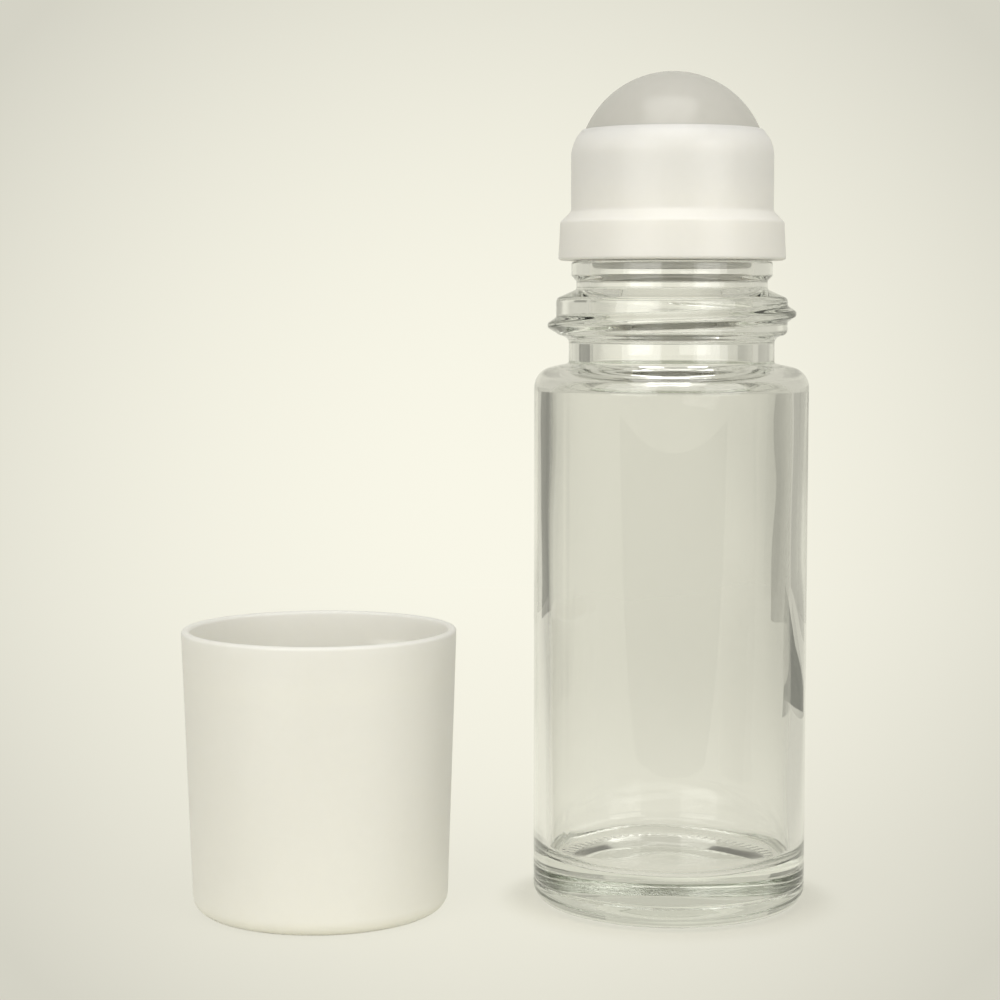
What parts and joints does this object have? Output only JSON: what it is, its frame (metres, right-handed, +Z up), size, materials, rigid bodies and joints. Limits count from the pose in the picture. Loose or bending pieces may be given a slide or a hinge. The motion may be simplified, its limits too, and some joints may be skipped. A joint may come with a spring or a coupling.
{
  "type": "roll-on bottle",
  "caption": "Clear glass roll-on bottle with a rolling plastic ball in a snapped-on housing, and its tapered screw cap standing mouth up beside it.",
  "frame": {"origin": "centre of the bottle's base, on the surface that it stands on", "axes": "+Z up along the bottle's axis, +X from the cap towards the bottle, +Y away from the viewer"},
  "size_m": [0.0843, 0.0411, 0.1124],
  "materials": {
    "clear_glass": "clear moulded glass",
    "housing_plastic": "natural polyethylene, satin gloss",
    "ball_plastic": "natural polypropylene, smooth",
    "cap_plastic": "warm white polypropylene, satin"
  },
  "bodies": {
    "bottle": {"glass_bottle": "clear_glass", "ball_housing": "housing_plastic"},
    "ball": {"roller_ball": "ball_plastic"},
    "cap": {"screw_cap": "cap_plastic"}
  },
  "joints": [
    {"name": "ball_roll", "type": "hinge", "parent": "bottle", "child": "ball", "pos_m": [0, 0, 0.0997], "axis": [1, 0, 0], "continuous": true},
    {"name": "cap_lift", "type": "slide", "parent": "bottle", "child": "cap", "axis": [0, 0, 1], "range_m": [0, 0.12]}
  ]
}
